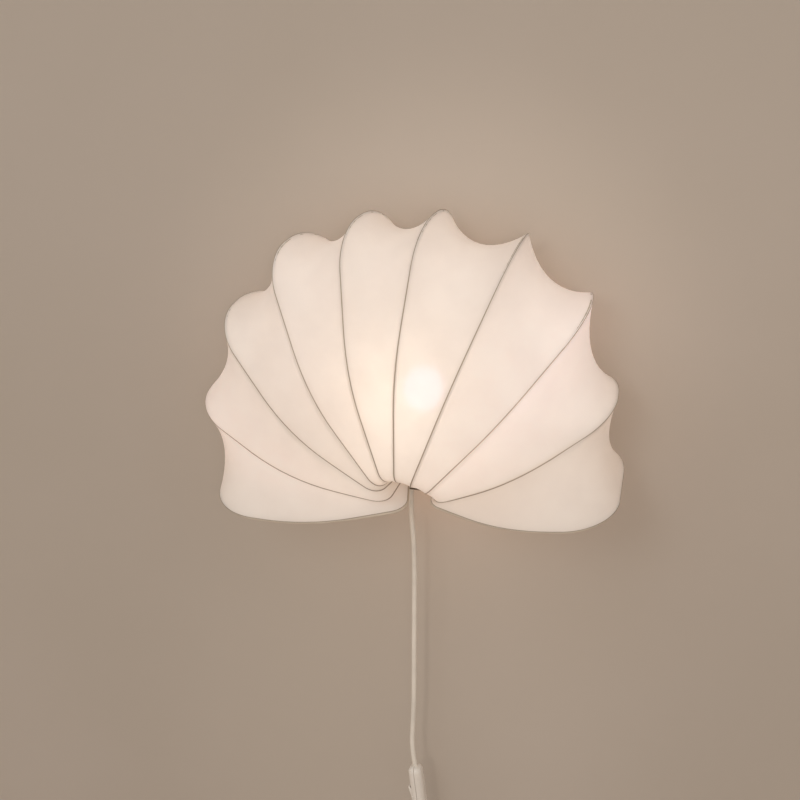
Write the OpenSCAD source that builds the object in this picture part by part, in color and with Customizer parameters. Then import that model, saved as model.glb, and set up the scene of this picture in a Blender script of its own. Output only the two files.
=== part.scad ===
// Wall lamp with a fan of bent wire ribs under stretched fabric, a mains lead and an in-line switch.
// The wall is the plane y = 0, the lamp stands out towards -Y, and up is +Z. Sizes in millimetres.

/* [Frame wires] */
// Diameter of the rib wire
wire_d = 3; // [2:0.1:3.2]
// Distance of the rear wires from the wall
rear_depth = 10; // [9:0.5:11]
// Reach of the longest rib from the middle of the fan
fan_reach = 294; // [284:1:304]
// Distance from the wall of the inner front corner of a rib
corner_depth = 135; // [130:1:140]
// Distance from the wall of the middle front corner of a rib
belly_depth = 159; // [154:1:166]
// Distance from the wall of the outer front corner of a rib
nose_depth = 121; // [118:1:128]
// How much further the first and last rib stand out at their middle corner
end_belly_more = 25; // [20:1:28]
// How much further the first and last rib stand out at their outer corner
end_nose_more = 60; // [52:1:64]
// How much nearer the middle the heel of a rib is than its nose
heel_inset = 4; // [0:1:8]
// How much further out the first rib's heel is than its nose
first_heel_out = 23; // [16:1:30]
// How much nearer the middle the last rib's heel is than its nose
last_heel_inset = 17; // [10:1:22]
// Bend radius of the inner front corner
corner_bend = 20; // [14:1:22]
// Length of each side of the belly bend, from the corner to where the wire is straight
belly_run = 49; // [40:1:52]
// Bend radius of the nose
nose_bend = 50; // [44:1:52]
// Bend radius of the heel, next to the wall
heel_bend = 68; // [58:1:70]

/* [Shade] */
// Thickness of the stretched fabric
fabric_t = 1.2; // [0.8:0.1:1.5]
// Gap between the fabric and the wires it lies on
fabric_gap = 0.1; // [0.1:0.05:0.3]
// Half of the seam gap between two neighbouring gores
seam_gap = 0.15; // [0.1:0.05:0.3]
// How far the fabric draws in between two ribs, against the height of an arc over them
draw_in = 1.9; // [1.5:0.1:2.2]
// Distance of the end panels from the middle of the fan, beside the hub
panel_inset = 31; // [30.5:0.5:36]

/* [Wall bracket] */
// Radius of the wall bracket's plate
bracket_r = 34; // [31:1:40]
// Thickness of the wall bracket's plate
bracket_t = 2.5; // [2:0.1:3]
// Distance between the two screw holes in the plate
screw_span = 50; // [44:1:54]
// Diameter of the two screw holes in the plate
screw_hole_d = 4.5; // [4:0.1:5]
// Diameter of the boss that the rear hub stands on
boss_d = 24; // [20:1:32]
// Height of that boss over the plate
boss_h = 3; // [2.5:0.1:3.5]
// Length of the spigot that goes into the column
spigot_l = 14; // [12:0.5:18]

/* [Hubs and column] */
// Radius of the rear hub
rear_hub_r = 30; // [28:0.5:32]
// Thickness of the rear hub
rear_hub_t = 11; // [9:0.5:12]
// Outer diameter of the column
column_d = 16; // [14:0.5:18]
// Wall thickness of the column
column_wall = 2; // [1.5:0.1:2.5]
// Radius of the fan hub
fan_hub_r = 30; // [29:0.5:32]
// Distance of the fan hub's rear face from the wall
fan_hub_depth = 50; // [46:1:54]
// Thickness of the fan hub
fan_hub_t = 34; // [32:1:36]
// Height of the fan hub's flat underside below the middle of the fan
fan_hub_drop = 24; // [22:0.5:25]
// Height of the flat on top of the fan hub
fan_hub_top = 26; // [25.5:0.5:27]
// Height of the groove round the fan hub's lower edge
hub_groove_h = 1; // [0.5:0.1:1.5]
// Depth of that groove
hub_groove_in = 2; // [1:0.1:2.5]
// Depth of the column's socket in the fan hub
socket_l = 12; // [10:0.5:13]
// Depth of the holes for the wire ends in the fan hub
ring_hole_l = 7.5; // [6:0.5:8]
// Depth of the radial holes for the wire ends in the rear hub
rear_hole_l = 8; // [6:0.5:9]
// Clearance round a wire in its hole, on the radius
wire_fit = 0.1; // [0.05:0.05:0.2]
// Clearance between bored pieces and what they hold, on the radius
bore_fit = 0.1; // [0.05:0.05:0.2]
// Diameter of the clamp screw under the rear hub
clamp_d = 4; // [3:0.5:5]
// Diameter of the clamp screw's head
clamp_head_d = 8; // [7:0.5:10]
// Height of the clamp screw's head
clamp_head_h = 3; // [2:0.5:4]

/* [Lampholder] */
// Distance of the lampholder's axis from the wall
holder_depth = 70; // [69:0.5:71]
// Outer diameter of the lampholder's shell
holder_d = 28; // [26:0.5:32]
// Height of the lampholder's shell
holder_h = 38; // [36:1:44]
// Wall thickness of the shell
holder_wall = 1.8; // [1.4:0.1:2.2]
// Thickness of the shell's floor
holder_floor = 2.4; // [2:0.1:3]
// Diameter of the hollow nipple under the lampholder
nipple_d = 10; // [9:0.5:10]
// Bore of the nipple
nipple_bore = 6.4; // [5:0.1:7]
// Width of the nipple's nut over its flats
nut_af = 15; // [13:0.5:17]
// Height of the nipple's nut
nut_h = 3; // [2:0.5:4]
// Diameter of the insulating insert
insert_d = 22; // [20:0.5:23.5]
// Height of the insulating insert
insert_h = 28; // [26:0.5:30]
// Bore of the threaded sleeve
sleeve_bore = 14.4; // [14.3:0.1:15]
// Wall of the threaded sleeve
sleeve_wall = 0.5; // [0.4:0.1:1]
// Height of the threaded sleeve
sleeve_h = 22; // [18:0.5:23]

/* [Bulb] */
// Diameter of the bulb's round glass
bulb_d = 45; // [40:1:48]
// Height of the glass's middle over the tip of its cap
bulb_rise = 53; // [50:1:60]
// Diameter of the bulb's screw cap
cap_d = 13.9; // [13:0.1:14]
// Height of the bulb's screw cap
cap_h = 23; // [20:0.5:25]
// Diameter of the glass's neck where it enters the cap
neck_d = 12.8; // [11:0.1:13]
// Diameter of the glass just above the cap
shoulder_d = 20; // [16:1:24]
// Diameter of the contact tip under the cap
tip_d = 5; // [4:0.5:6]
// Height of that contact tip
tip_h = 1.5; // [1:0.1:2]

/* [Cord] */
// Diameter of the cord
cord_d = 5.6; // [5:0.1:6]
// Sideways place of the cord's exit from the hub
exit_x = -17; // [-17.5:0.5:-15]
// Diameter of the strain relief in the fan hub
relief_d = 7.5; // [7:0.1:7.8]
// Length of the strain relief inside the fan hub
relief_in = 24; // [21:0.5:25]
// Length of its taper under the fan hub
relief_out = 6; // [4:1:12]
// Mean radius of the outermost turn of the coil
coil_r = 41.5; // [36:0.5:44]
// Turns in each of the coil's two layers
coil_turns = 3; // [2:1:4]
// Distance between turns that lie beside each other
coil_pitch = 6.2; // [6.1:0.1:8]
// Distance between the coil's two layers
coil_layer = 6.3; // [6.1:0.1:8]
// Width of the coil's tie
tie_w = 8; // [6:1:14]
// Thickness of the coil's tie
tie_t = 1.6; // [1:0.1:2.5]
// Clearance of the tie round the turns
tie_fit = 0.3; // [0.2:0.1:0.6]

/* [In-line switch] */
// Length of the switch
switch_l = 76; // [70:1:86]
// Width of the switch, seen on its rocker side
switch_w = 28; // [26:1:34]
// Thickness of the switch
switch_t = 17; // [16:0.5:20]
// Wall thickness of its two shells
switch_wall = 1.8; // [1.4:0.1:2.2]
// Lean of the switch, its lower end to the right
switch_lean = 7; // [0:1:10]
// Length of the rocker
rocker_l = 24; // [20:1:28]
// Width of the rocker
rocker_w = 12; // [10:0.5:14]
// Tilt of the rocker at rest
rocker_tilt = 8; // [5:1:9]
// Diameter of the rocker's pivot pins
pivot_d = 2.5; // [2:0.1:3]
// Running clearance of the pivot pins, on the radius
pivot_fit = 0.06; // [0.02:0.01:0.1]
// Clearance round the rocker in its window
rocker_fit = 0.5; // [0.4:0.1:0.8]

/* [Plug] */
// Width of the plug's body
plug_w = 35; // [33:0.5:36]
// Thickness of the plug's body
plug_t = 13.7; // [13:0.1:15]
// Length of the plug's body
plug_l = 34; // [30:1:38]
// Distance between the two pins
pin_span = 18.6; // [18:0.1:19.2]
// Diameter of the pins
pin_d = 4; // [3.8:0.1:4.2]
// Length of the pins
pin_l = 19; // [18:0.5:20]
// Length of the plug's tapered strain relief
plug_relief_l = 26; // [20:1:40]

/* [Hidden] */
$fn = 48;

// The fan: direction of each rib over +X, its lean out of its radial plane, and its share of the reach
fan_angle = [180, 161, 137.5, 117.5, 101, 86.5, 69.5, 52.5, 32.5, 8];
rib_lean = [10, 13, 15.5, 16.5, 13.5, 8, 1.5, -5.5, -11, -6.5];
reach_share = [0.69, 0.84, 0.91, 0.975, 0.985, 0.995, 1, 0.94, 0.795, 0.76];
// Distance of each rib's inner front corner from the middle of the fan, and of its end in the fan hub
rib_inner = [4, 19, 22, 14, 7, -2, -6, 1, 15, 18];
rib_root = [18, 17, 14, 14, 16, 20, 21, 20, 20, 18];
last_rib = len(fan_angle) - 1;

rear_hub_depth = bracket_t + boss_h;
column_start = rear_hub_depth;
fan_hub_front = fan_hub_depth + fan_hub_t;
end_play = 0.5;
rib_end = rear_hub_r - rear_hole_l + end_play;

// Height of the ledge under the fan hub's groove
hub_ledge = 1;
// Wall of the hub's collar round the lead's exit, and how far under the middle of the fan it ends
collar_wall = 2.4;
collar_root = 8;

// The lampholder, from the fan hub upwards
nipple_sunk = 11;
nipple_over_nut = 1;
seat_gap = 0.5;
holder_z = fan_hub_top;
nipple_bottom = holder_z - nipple_sunk;
nipple_top = holder_z + holder_floor + nut_h + nipple_over_nut;
insert_z = nipple_top + seat_gap;
sleeve_z = holder_z + holder_h - sleeve_h + seat_gap;
// The shell's rim, and the insert's foot that fills the shell
rim_h = 3;
rim_out = 1.5;
rim_below_top = 2;
foot_h = 3;
// The centre contact, and the recess round it
contact_h = 2;
contact_side = 0.5;
recess_side = 1;
// The bulb: its cap stands over the sleeve's foot, with a bevel, and holds the neck in a socket
bulb_z = sleeve_z + 1.5;
cap_bevel = 3;
cap_floor = 8;
shoulder_h = 4;

exit_z = -fan_hub_drop - relief_out;
cord_sides = 8;
coil_sides = 6;
coil_rings = 24;
// The lead's points, from the strain relief to the switch
upper_route = [[-17, -70, exit_z], [-17, -70, -35], [-17, -70, -50], [-16.5, -70, -66], [-14.8, -70, -85],
               [-13.8, -69.5, -104], [-13.3, -69, -135], [-13.3, -69, -170], [-13.6, -68.5, -235],
               [-13.8, -68, -300], [-15, -68, -338], [-15.6, -68, -360], [-14, -68, -380],
               [-12.2, -68, -392], [-11, -68, -402]];
// The middle of the switch
switch_at = [-7.6, -68, -429.8];
coil_at = [12, -68, -554];
coil_in_x = coil_at[0] - coil_r;
// How far over and under the coil's middle the lead bends towards it
lead_in_over = 11;
lead_out_under = 14;
// The lead's points, from the switch to the coil
lower_route = [[-4.2, -68, -457.5], [-3, -68, -467.5], [-2.2, -68, -474], [-4, -68.5, -487],
               [-12, -69.5, -503], [-22, -70.5, -518], [-28, -71, -533],
               [coil_in_x, coil_at[1] - coil_layer / 2, coil_at[2] + lead_in_over],
               [coil_in_x, coil_at[1] - coil_layer / 2, coil_at[2] + cord_d]];
plug_at = [-29.5, -66, -595];
// The lead's points, from the coil to the plug
tail_route = [[coil_in_x, coil_at[1] + coil_layer / 2, coil_at[2] - cord_d],
              [coil_in_x, coil_at[1] + coil_layer / 2, coil_at[2] - lead_out_under], [-29.5, -66, -582],
              [-29.5, -66, -591], plug_at];

// Plane geometry of a bent wire that always turns clockwise
function along(h) = [cos(h), sin(h)];
function side(h) = [-sin(h), cos(h)];
function heading(a, b) = atan2(b[1] - a[1], b[0] - a[0]);
function wrap(a) = a > 180 ? a - 360 : a < -180 ? a + 360 : a;
function turn_at(p, k) = wrap(heading(p[k], p[k + 1]) - heading(p[k - 1], p[k]));
function run_at(p, bends, k) = bends[k] * tan(abs(turn_at(p, k)) / 2);
function bend_start(p, bends, k) = p[k] - along(heading(p[k - 1], p[k])) * run_at(p, bends, k);
function bend_centre(p, bends, k) =
    bend_start(p, bends, k) - side(heading(p[k - 1], p[k])) * bends[k];

// The path of rib i in its own plane: [distance from the middle of the fan, distance from the wall]
function in_plane(i, depth) = rear_depth + (depth - rear_depth) / cos(rib_lean[i]);
function rib_path(i) = let (reach = fan_reach * reach_share[i], at_end = i == 0 || i == last_rib) [
    [rib_root[i], in_plane(i, fan_hub_front - ring_hole_l + end_play)],
    [rib_inner[i], corner_depth],
    [reach / 2, belly_depth + (at_end ? end_belly_more : 0)],
    [reach, nose_depth + (at_end ? end_nose_more : 0)],
    [reach - (i == 0 ? -first_heel_out : i == last_rib ? last_heel_inset : heel_inset), rear_depth],
    [rib_end, rear_depth]];
function rib_bends(i) =
    [0, corner_bend, belly_run / tan(abs(turn_at(rib_path(i), 2)) / 2), nose_bend, heel_bend, 0];

// A rib's own axes in space, and the place of a point of its plane
function spoke(i) = [cos(fan_angle[i]), 0, sin(fan_angle[i])];
function rise(i) = [-sin(fan_angle[i]) * sin(rib_lean[i]), -cos(rib_lean[i]),
                    cos(fan_angle[i]) * sin(rib_lean[i])];
function in_space(i, v) = spoke(i) * v[0] + rise(i) * v[1];
function at_rib(i, q) = [0, -rear_depth, 0] + in_space(i, [q[0], q[1] - rear_depth]);
module in_rib_plane(i)
    translate([0, -rear_depth, 0]) rotate([0, -fan_angle[i], 0]) rotate([180 - rib_lean[i], 0, 0])
        translate([0, -rear_depth, 0]) children();

// Stations along a rib for the fabric: point, outward direction and curvature
function bend_stations(p, bends, k, steps, pull = 1, first = 0.5, last = 0.5) = [for (s = [0:steps])
    let (h = heading(p[k - 1], p[k]) + turn_at(p, k) * s / steps)
    [bend_centre(p, bends, k) + side(h) * bends[k], side(h),
     pull * (s == 0 ? first : s == steps ? last : 1) / bends[k]]];
corner_steps = 4;
belly_steps = 3;
nose_steps = 7;
heel_steps = 5;
hub_gap = 1.5;
function fabric_root(i) = let (p = rib_path(i), d = in_plane(i, fan_hub_front + hub_gap))
    [p[0] + (p[1] - p[0]) * (d - p[0][1]) / (p[1][1] - p[0][1]), side(heading(p[0], p[1])), 0];
function stations(i) = let (p = rib_path(i), b = rib_bends(i)) concat(
    [fabric_root(i)],
    bend_stations(p, b, 1, corner_steps, 0.4),
    bend_stations(p, b, 2, belly_steps, 0.8),
    bend_stations(p, b, 3, nose_steps, 1, 0.6, 1),
    bend_stations(p, b, 4, heel_steps, 1, 1, 0.8));
rails = [for (i = [0:last_rib]) stations(i)];

function unit(v) = v / norm(v);
function flip(face) = [face[2], face[1], face[0]];
function quad(a, b, c, d) = [[a, b, c], [a, c, d]];

// Greatest sag of each gore, as a share of the distance between its ribs
gore_sag = [0.11, 0.11, 0.19, 0.22, 0.26, 0.28, 0.22, 0.18, 0.17];

// The fabric at station k between ribs i and i + 1: span, fall, and outward directions at its two edges
fabric_cells = 4;
function gore_frame(i, k) =
    let (a = rails[i][k], b = rails[i + 1][k],
         span = at_rib(i + 1, b[0]) - at_rib(i, a[0]), chord = norm(span),
         way_a = in_space(i, [a[1][1], -a[1][0]]), way_b = in_space(i + 1, [b[1][1], -b[1][0]]),
         sag = min(draw_in * chord * chord * (a[2] + b[2]) / 16, chord * gore_sag[i]),
         fall = 4 * sag * unit(cross(span, way_a + way_b)), steep = fall * (1 - 1 / fabric_cells))
    [span, fall, unit(cross(span - steep, way_a)), unit(cross(span + steep, way_b))];
frames = [for (i = [0:last_rib - 1]) [for (k = [0:len(rails[i]) - 1]) gore_frame(i, k)]];

// Room that the next gore takes beside a shared rib, where the two lean towards each other
seam_slack = 1.7;
hub_seam = 1.5;
function crowding(own, other, inwards) = let (c = own * other)
    (other - own) * inwards > 0 ? seam_slack * sqrt((1 - c) / (1 + c)) : 0;

// One point of the fabric, drawn in towards the inside of the shade
most_edge = 0.45;
function gore_point(i, k, j, off) =
    let (f = frames[i][k], chord = norm(f[0]),
         room_a = i == 0 ? 0 : crowding(f[2], frames[i - 1][k][3], f[0]),
         room_b = i == last_rib - 1 ? 0 : crowding(f[3], frames[i + 1][k][2], -f[0]),
         seam = k > corner_steps + 3 ? seam_gap : hub_seam,
         edge_a = min((seam + off * room_a) / chord, most_edge),
         edge_b = min((seam + off * room_b) / chord, most_edge),
         v = min(max(j / fabric_cells, edge_a), 1 - edge_b))
    (at_rib(i, rails[i][k][0]) + f[2] * off) * (1 - v)
    + (at_rib(i + 1, rails[i + 1][k][0]) + f[3] * off) * v - f[1] * v * (1 - v);

module gore(i) {
    rows = len(rails[i]);
    cols = fabric_cells + 1;
    outer = rows * cols;
    inside_off = wire_d / 2 + fabric_gap;
    points = [for (off = [inside_off, inside_off + fabric_t]) for (k = [0:rows - 1])
              for (j = [0:cols - 1]) gore_point(i, k, j, off)];
    function at(k, j) = k * cols + j;
    lining = [for (k = [0:rows - 2]) for (j = [0:cols - 2])
              for (t = quad(at(k, j), at(k, j + 1), at(k + 1, j + 1), at(k + 1, j))) t];
    skin = [for (t = lining) flip([t[0] + outer, t[1] + outer, t[2] + outer])];
    long_rims = [for (k = [0:rows - 2]) for (j = [0, cols - 1])
                 for (t = quad(at(k, j), at(k + 1, j), at(k + 1, j) + outer, at(k, j) + outer))
                 j == 0 ? t : flip(t)];
    short_rims = [for (j = [0:cols - 2]) for (k = [0, rows - 1])
                  for (t = quad(at(k, j), at(k, j + 1), at(k, j + 1) + outer, at(k, j) + outer))
                  k == 0 ? flip(t) : t];
    color("oldlace") polyhedron(points, concat(lining, skin, long_rims, short_rims));
}

// The flat panel that closes the shade on its first or last rib, on the side away from the others
module end_panel(i, outer_side) {
    outline = [for (s = rails[i]) s[0]];
    shift = outer_side * (wire_d / 2 + fabric_gap + fabric_t / 2);
    color("oldlace") in_rib_plane(i) translate([0, 0, shift - fabric_t / 2])
        linear_extrude(fabric_t)
            polygon(concat(outline, [[panel_inset, rear_depth], [panel_inset, outline[0][1]]]));
}

// The wire of rib i: one tube along its bends, in its own plane
wire_sides = 8;
function wire_points(i) = let (p = rib_path(i), b = rib_bends(i)) [for (q = concat(
    [p[0]],
    [for (s = bend_stations(p, b, 1, corner_steps)) s[0]],
    [for (s = bend_stations(p, b, 2, belly_steps)) s[0]],
    [for (s = bend_stations(p, b, 3, nose_steps)) s[0]],
    [for (s = bend_stations(p, b, 4, heel_steps)) s[0]],
    [p[5]])) [q[0], q[1], 0]];
module rib(i) color("tan") in_rib_plane(i) tube(wire_points(i), wire_d, wire_sides, [0, 0, 1]);

// A cylinder along the lamp's depth, from one distance to another from the wall
module depth_rod(from, to, d)
    translate([0, -from, 0]) rotate([90, 0, 0]) cylinder(h = to - from, d = d);

module wall_bracket() color("silver") {
    difference() {
        depth_rod(0, bracket_t, 2 * bracket_r);
        for (s = [-1, 1])
            translate([s * screw_span / 2, 0, 0]) depth_rod(-1, bracket_t + 1, screw_hole_d);
    }
    depth_rod(bracket_t, rear_hub_depth, boss_d);
    depth_rod(rear_hub_depth, rear_hub_depth + spigot_l, column_d - 2 * column_wall - 2 * bore_fit);
}

module rear_hub() color("white") difference() {
    depth_rod(rear_hub_depth, rear_hub_depth + rear_hub_t, 2 * rear_hub_r);
    depth_rod(rear_hub_depth - 1, rear_hub_depth + rear_hub_t + 1, column_d + 2 * bore_fit);
    for (i = [0:last_rib])
        in_rib_plane(i) translate([rear_hub_r - rear_hole_l, rear_depth, 0]) rotate([0, 90, 0])
            cylinder(h = rear_hole_l + 5, d = wire_d + 2 * wire_fit);
    translate([0, -rear_depth, -rear_hub_r - 1]) cylinder(h = rear_hub_r, d = clamp_d + 2 * bore_fit);
}

module column() color("silver") difference() {
    depth_rod(column_start, fan_hub_depth + socket_l - seat_gap, column_d);
    depth_rod(column_start - 1, fan_hub_depth + socket_l + 1, column_d - 2 * column_wall);
    translate([0, -rear_depth, -column_d]) cylinder(h = column_d, d = clamp_d + 2 * bore_fit);
}

module clamp_screw() color("dimgray") {
    tip = (column_d - 2 * column_wall) / 2;
    translate([0, -rear_depth, -rear_hub_r]) cylinder(h = rear_hub_r - tip, d = clamp_d);
    translate([0, -rear_depth, -rear_hub_r - clamp_head_h])
        cylinder(h = clamp_head_h, d = clamp_head_d);
}

module fan_hub() color("white") difference() {
    union() {
        intersection() {
            depth_rod(fan_hub_depth, fan_hub_front, 2 * fan_hub_r);
            translate([-fan_hub_r, -fan_hub_front, -fan_hub_drop])
                cube([2 * fan_hub_r, fan_hub_t, fan_hub_drop + fan_hub_top]);
        }
        translate([exit_x, -holder_depth, -fan_hub_drop])
            cylinder(h = fan_hub_drop - collar_root, d = relief_d + 2 * collar_wall);
    }
    translate([-fan_hub_r, -fan_hub_front - 1, hub_ledge - fan_hub_drop])
        cube([2 * fan_hub_r, hub_groove_in + 1, hub_groove_h]);
    depth_rod(fan_hub_depth - 1, fan_hub_depth + socket_l, column_d + 2 * bore_fit);
    for (i = [0:last_rib]) let (p = rib_path(i))
        in_rib_plane(i) translate([p[0][0], p[0][1], 0]) rotate([0, 0, heading(p[0], p[1]) - 90])
            rotate([-90, 0, 0]) translate([0, 0, -end_play])
                cylinder(h = 2 * ring_hole_l, d = wire_d + 2 * wire_fit);
    translate([0, -holder_depth, 0]) cylinder(h = fan_hub_top + 1, d = nipple_d + 2 * bore_fit);
    translate([exit_x, -holder_depth, -fan_hub_drop - 1])
        cylinder(h = relief_in + 1, d = relief_d + 2 * bore_fit);
    translate([exit_x - relief_d / 2, -holder_depth - relief_d / 2, relief_in - fan_hub_drop])
        cube([relief_d / 2 - exit_x + nipple_d / 4, relief_d, nipple_bottom + fan_hub_drop - relief_in]);
}

// The lampholder and the bulb stand on one upright axis
module on_holder_axis(z) translate([0, -holder_depth, z]) children();

module holder_nipple() color("gold") on_holder_axis(nipple_bottom) difference() {
    cylinder(h = nipple_top - nipple_bottom, d = nipple_d);
    translate([0, 0, -1]) cylinder(h = nipple_top - nipple_bottom + 2, d = nipple_bore);
}

module nipple_nut() color("gold") on_holder_axis(holder_z + holder_floor) difference() {
    cylinder(h = nut_h, d = nut_af / cos(30), $fn = 6);
    translate([0, 0, -1]) cylinder(h = nut_h + 2, d = nipple_d + 2 * bore_fit);
}

module holder_shell() color("white") on_holder_axis(holder_z) difference() {
    union() {
        cylinder(h = holder_h, d = holder_d);
        translate([0, 0, holder_h - rim_below_top - rim_h]) cylinder(h = rim_h, d = holder_d + 2 * rim_out);
    }
    translate([0, 0, holder_floor]) cylinder(h = holder_h, d = holder_d - 2 * holder_wall);
    translate([0, 0, -1]) cylinder(h = holder_floor + 2, d = nipple_d + 2 * bore_fit);
}

module holder_insert() color("ivory") on_holder_axis(insert_z) difference() {
    union() {
        cylinder(h = insert_h, d = insert_d);
        cylinder(h = foot_h, d = holder_d - 2 * holder_wall - 2 * bore_fit);
    }
    translate([0, 0, sleeve_z - insert_z])
        cylinder(h = insert_h, d = sleeve_bore + 2 * sleeve_wall + 2 * bore_fit);
    translate([0, 0, sleeve_z - insert_z - contact_h])
        cylinder(h = contact_h + 1, d = tip_d + 2 * recess_side);
}

module threaded_sleeve() color("gold") on_holder_axis(sleeve_z) difference() {
    cylinder(h = sleeve_h, d = sleeve_bore + 2 * sleeve_wall);
    translate([0, 0, -1]) cylinder(h = sleeve_h + 2, d = sleeve_bore);
}

module centre_contact() color("goldenrod") on_holder_axis(sleeve_z - contact_h)
    cylinder(h = contact_h + bulb_z - sleeve_z - tip_h, d = tip_d + 2 * contact_side);

module bulb_tip() color("gray") on_holder_axis(bulb_z - tip_h) cylinder(h = tip_h, d = tip_d);

module bulb_cap() color("silver") on_holder_axis(bulb_z) difference() {
    union() {
        cylinder(h = cap_bevel, d1 = tip_d + cap_bevel, d2 = cap_d);
        translate([0, 0, cap_bevel]) cylinder(h = cap_h - cap_bevel, d = cap_d);
    }
    translate([0, 0, cap_floor]) cylinder(h = cap_h, d = neck_d + 2 * bore_fit);
}

// The glass: a ball on a waist that narrows to the neck in the cap
module bulb_glass() color("white") on_holder_axis(bulb_z) {
    ball_foot = bulb_rise - sqrt(pow(bulb_d / 2, 2) - pow(shoulder_d / 2, 2));
    neck_foot = cap_floor + seat_gap;
    waist_z = cap_h + shoulder_h;
    translate([0, 0, neck_foot]) cylinder(h = cap_h - neck_foot, d = neck_d);
    translate([0, 0, cap_h]) cylinder(h = shoulder_h, d1 = neck_d, d2 = shoulder_d);
    translate([0, 0, waist_z]) cylinder(h = ball_foot - waist_z, d = shoulder_d);
    translate([0, 0, bulb_rise]) sphere(d = bulb_d);
}

// A round tube swept along points by one polyhedron, its rings square to the route
function ring_tangent(p, k) = k == 0 ? unit(p[1] - p[0])
    : k == len(p) - 1 ? unit(p[k] - p[k - 1]) : unit(unit(p[k + 1] - p[k]) + unit(p[k] - p[k - 1]));
module tube(p, d, sides, across = [0, 1, 0]) {
    points = [for (k = [0:len(p) - 1])
              let (t = ring_tangent(p, k), u = unit(cross(t, across)), v = cross(t, u))
              for (s = [0:sides - 1]) p[k] + (u * cos(360 * s / sides) + v * sin(360 * s / sides)) * d / 2];
    last = (len(p) - 1) * sides;
    walls = [for (k = [0:len(p) - 2]) for (s = [0:sides - 1])
             let (a = k * sides + s, b = k * sides + (s + 1) % sides)
             for (t = quad(a, a + sides, b + sides, b)) t];
    caps = [[for (s = [0:sides - 1]) s], [for (s = [0:sides - 1]) last + sides - 1 - s]];
    polyhedron(points, concat(walls, caps));
}

// The points of a smooth curve through a route, with steps parts to each stretch
function spline(p, a, b, c, d, t) = ((-t * t * t + 2 * t * t - t) * a + (3 * t * t * t - 5 * t * t + 2) * b
    + (-3 * t * t * t + 4 * t * t + t) * c + (t * t * t - t * t) * d) / 2;
function smooth(p, steps) = let (last = len(p) - 1) concat([for (k = [0:last - 1]) for (s = [0:steps - 1])
    spline(p, p[max(k - 1, 0)], p[k], p[k + 1], p[min(k + 2, last)], s / steps)], [p[last]]);

module cord_upper() color("white") tube(smooth(upper_route, 2), cord_d, cord_sides);
module cord_lower() color("white") tube(smooth(lower_route, 2), cord_d, cord_sides);
module cord_tail() color("white") tube(smooth(tail_route, 2), cord_d, cord_sides);

// The coil: in and out again in two layers, with the climb in the half turn at the inside
coil_all = 2 * coil_turns;
climb_turn = 0.5;
coil_start = 180;
function coil_t(t) = min(t, coil_all - t);
function coil_climb(t) = min(max((t - coil_turns + climb_turn / 2) / climb_turn, 0), 1);
function coil_point(t) =
    let (r = coil_r - coil_pitch * coil_t(t), c = coil_climb(t), a = coil_start + 360 * t)
    coil_at + [r * cos(a), coil_layer * (c * c * (3 - 2 * c) - 0.5), r * sin(a)];
coil_points = concat(
    [coil_point(0) + [0, 0, cord_d]],
    [for (s = [0:coil_all * coil_rings]) coil_point(s / coil_rings)],
    [coil_point(coil_all) - [0, 0, cord_d]]);
// Least distance between turns of the coil, less the cord's diameter
coil_gap = min([for (a = [0:3:len(coil_points) - 1]) for (b = [a + coil_rings / 2:len(coil_points) - 1])
                norm(coil_points[a] - coil_points[b])]) - cord_d;
echo(coil_gap = coil_gap);
module cord_coil() color("white") tube(coil_points, cord_d, coil_sides);

// The tie: a flat band closed round the turns on the coil's far side
module coil_tie() color("whitesmoke") {
    // The turns curve away from the tie's middle towards its edges
    inside = coil_r - coil_pitch * (coil_turns - 0.5) - cord_d / 2;
    inner_r = sqrt(pow(inside, 2) - pow(tie_w / 2, 2)) - tie_fit;
    outer_r = coil_r - coil_pitch / 2 + cord_d / 2 + tie_fit;
    half_y = coil_layer / 2 + cord_d / 2 + tie_fit;
    translate([coil_at[0], coil_at[1], coil_at[2] - tie_w / 2]) linear_extrude(tie_w) difference() {
        translate([inner_r - tie_t, -half_y - tie_t])
            square([outer_r - inner_r + 2 * tie_t, 2 * half_y + 2 * tie_t]);
        translate([inner_r, -half_y]) square([outer_r - inner_r, 2 * half_y]);
    }
}

module cord_relief() color("white") translate([exit_x, -holder_depth, exit_z]) {
    cylinder(h = relief_out, d1 = cord_d + 2 * relief_side, d2 = relief_d);
    translate([0, 0, relief_out]) cylinder(h = relief_in, d = relief_d);
}

// The switch in its own axes: rocker on -X, width along Y, length along Z
module in_switch() translate(switch_at) rotate([0, -switch_lean, 0]) children();
module rounded_box(t, w, l, r) intersection() {
    rotate([90, 0, 90]) linear_extrude(t, center = true) rounded_outline(w, l, r);
    rotate([90, 0, 0]) linear_extrude(w, center = true) rounded_outline(t, l, r * 0.6);
    linear_extrude(l, center = true) rounded_outline(t, w, r * 0.4);
}
module rounded_outline(w, l, r) {
    square([w - 2 * r, l], center = true);
    square([w, l - 2 * r], center = true);
    for (x = [-1, 1]) for (y = [-1, 1]) translate([x * (w / 2 - r), y * (l / 2 - r)]) circle(r = r);
}
switch_round = 11;
cord_hole_fit = 0.3;
half_parting = 0.05;
module switch_case(from, to) intersection() {
    difference() {
        rounded_box(switch_t, switch_w, switch_l, switch_round);
        rounded_box(switch_t - 2 * switch_wall, switch_w - 2 * switch_wall,
                    switch_l - 2 * switch_wall, switch_round - switch_wall);
        cylinder(h = switch_l + 2, d = cord_d + 2 * cord_hole_fit, center = true);
    }
    translate([from, -switch_w, -switch_l]) cube([to - from, 2 * switch_w, 2 * switch_l]);
}

// The ears that carry the rocker's pivot, rooted a little inside the shell's wall
pivot_in = 3.5;
pivot_x = pivot_in - switch_t / 2;
ear_t = 2;
ear_gap = 0.3;
ear_root = 0.2;
ear_l = 6.2;
ear_w = 8;

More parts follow.
